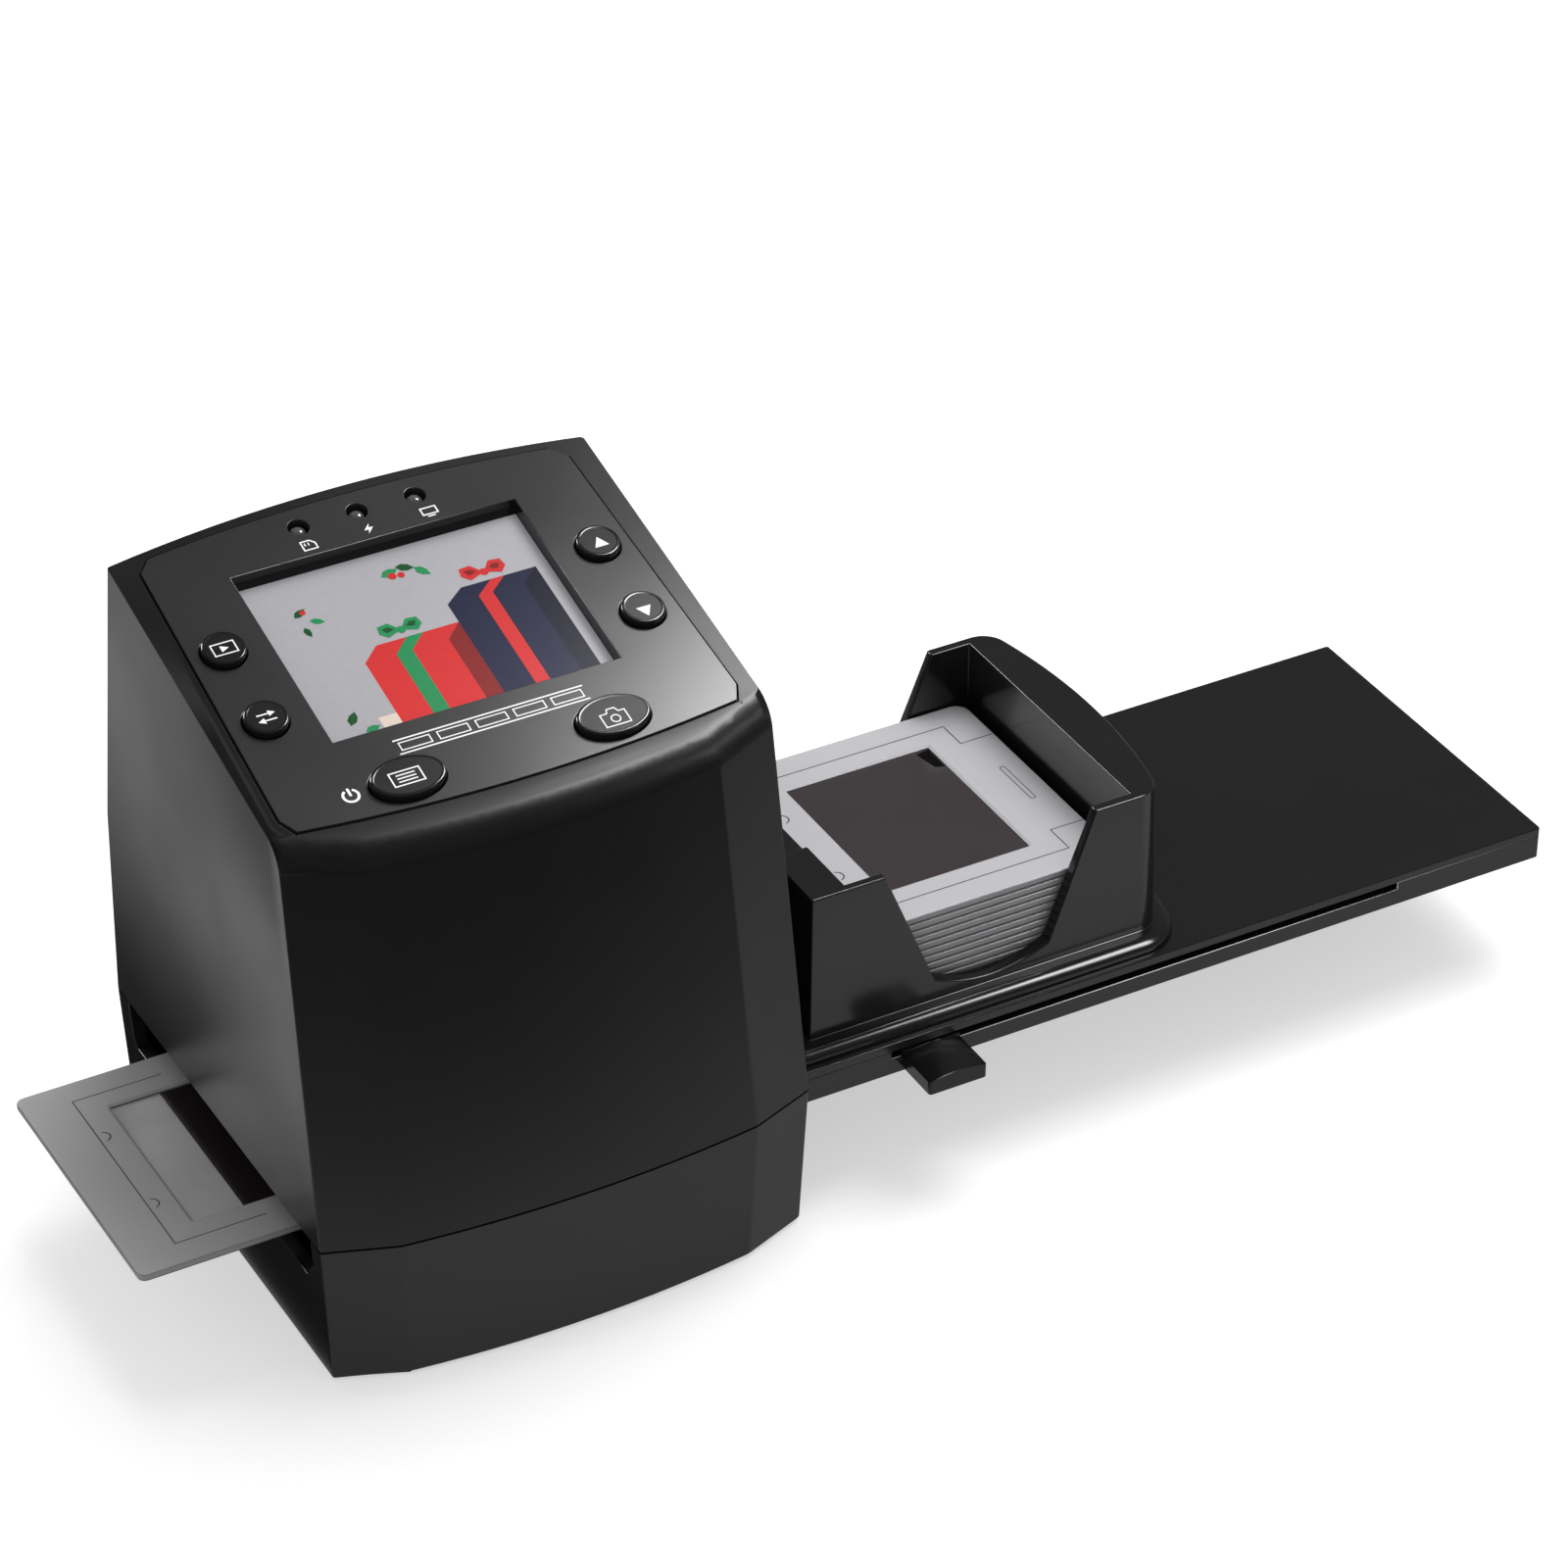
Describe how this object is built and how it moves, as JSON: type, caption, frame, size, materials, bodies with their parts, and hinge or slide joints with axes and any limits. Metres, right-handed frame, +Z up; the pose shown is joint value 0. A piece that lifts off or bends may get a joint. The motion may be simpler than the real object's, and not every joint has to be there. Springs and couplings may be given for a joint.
{
  "type": "film negative scanner",
  "caption": "Desktop film and slide scanner with a sloped screen panel, round and oval buttons, a film slot through its foot, and a plug-in slide feeder with hopper and pusher.",
  "frame": {"origin": "on the desk, under the middle of the bounding box of the whole outfit", "axes": "+X along the feeder tray, away from the scanner; +Y to the back of the scanner; +Z up"},
  "size_m": [0.2522, 0.087, 0.1094],
  "materials": {
    "case_plastic": "satin black",
    "panel_plastic": "satin dark grey",
    "button_plastic": "satin black",
    "feeder_plastic": "glossy black",
    "slide_plastic": "light grey",
    "film": "dark brown film",
    "screen_glass": "clear over a lit picture",
    "lens_glass": "clear",
    "white_plastic": "white",
    "clear_plastic": "smoked clear",
    "board": "solder mask green",
    "chip": "black epoxy",
    "steel": "plated",
    "rubber": "soft black",
    "inner_black": "non-reflecting black",
    "ribbon": "white ribbon cable"
  },
  "bodies": {
    "scanner": {"base_case": "case_plastic", "base_ribbon": "ribbon", "board_chips": "chip", "board_plugs": "white_plastic", "board_screws": "steel", "card_socket": "steel", "case_screws": "steel", "connector_board": "board", "connector_screws": "steel", "face_plate": "panel_plastic", "image_sensor": "chip", "key_switches": "chip", "lamp_board": "board", "lamp_board_screws": "steel", "lamp_leds": "white_plastic", "lamp_ribbon": "ribbon", "lens_barrel": "inner_black", "lens_glasses": "lens_glass", "lens_holder": "inner_black", "light_diffuser": "white_plastic", "light_reflector": "white_plastic", "lower_film_gate": "inner_black", "main_board": "board", "optics_screws": "steel", "optics_tunnel": "inner_black", "rubber_feet": "rubber", "screen_backlight": "white_plastic", "screen_glass": "screen_glass", "sensor_board": "board", "sensor_ribbon": "ribbon", "sensor_screws": "steel", "status_lamp_chips": "white_plastic", "status_light_pipes": "clear_plastic", "upper_case": "case_plastic", "usb_socket": "steel"},
    "slide_feeder": {"tray_base": "feeder_plastic", "tray_cover": "feeder_plastic", "tray_screws": "steel", "hopper": "feeder_plastic"},
    "slide_pusher": {"pusher": "feeder_plastic"},
    "slide_stack": {"stacked_slide_mounts": "slide_plastic", "stacked_slide_films": "film"},
    "ejected_slide": {"ejected_slide_mount": "slide_plastic", "ejected_slide_film": "film"},
    "button_lower_left_body": {"button_lower_left": "button_plastic"},
    "button_lower_right_body": {"button_lower_right": "button_plastic"},
    "button_upper_left_body": {"button_upper_left": "button_plastic"},
    "button_upper_right_body": {"button_upper_right": "button_plastic"},
    "oval_button_left_body": {"oval_button_left": "button_plastic"},
    "oval_button_right_body": {"oval_button_right": "button_plastic"}
  },
  "joints": [
    {"name": "feeder_pull_out", "type": "slide", "parent": "scanner", "child": "slide_feeder", "axis": [1, 0, 0], "range_m": [0, 0.08]},
    {"name": "pusher_travel", "type": "slide", "parent": "slide_feeder", "child": "slide_pusher", "axis": [1, 0, 0], "range_m": [-0.0014, 0.084]},
    {"name": "stack_lift", "type": "slide", "parent": "slide_feeder", "child": "slide_stack", "axis": [0, 0, 1], "range_m": [0, 0.035]},
    {"name": "slide_pull_out", "type": "slide", "parent": "slide_feeder", "child": "ejected_slide", "axis": [-1, 0, 0], "range_m": [0, 0.036]},
    {"name": "button_lower_left_press", "type": "slide", "parent": "scanner", "child": "button_lower_left_body", "axis": [0, 0.2485, -0.9686], "range_m": [0, 0.0006], "stiffness_N_per_m": 1500, "springref_m": -0.0003},
    {"name": "button_lower_right_press", "type": "slide", "parent": "scanner", "child": "button_lower_right_body", "axis": [0, 0.2485, -0.9686], "range_m": [0, 0.0006], "stiffness_N_per_m": 1500, "springref_m": -0.0003},
    {"name": "button_upper_left_press", "type": "slide", "parent": "scanner", "child": "button_upper_left_body", "axis": [0, 0.2485, -0.9686], "range_m": [0, 0.0006], "stiffness_N_per_m": 1500, "springref_m": -0.0003},
    {"name": "button_upper_right_press", "type": "slide", "parent": "scanner", "child": "button_upper_right_body", "axis": [0, 0.2485, -0.9686], "range_m": [0, 0.0006], "stiffness_N_per_m": 1500, "springref_m": -0.0003},
    {"name": "oval_button_left_press", "type": "slide", "parent": "scanner", "child": "oval_button_left_body", "axis": [0, 0.2485, -0.9686], "range_m": [0, 0.0006], "stiffness_N_per_m": 1500, "springref_m": -0.0003},
    {"name": "oval_button_right_press", "type": "slide", "parent": "scanner", "child": "oval_button_right_body", "axis": [0, 0.2485, -0.9686], "range_m": [0, 0.0006], "stiffness_N_per_m": 1500, "springref_m": -0.0003}
  ]
}
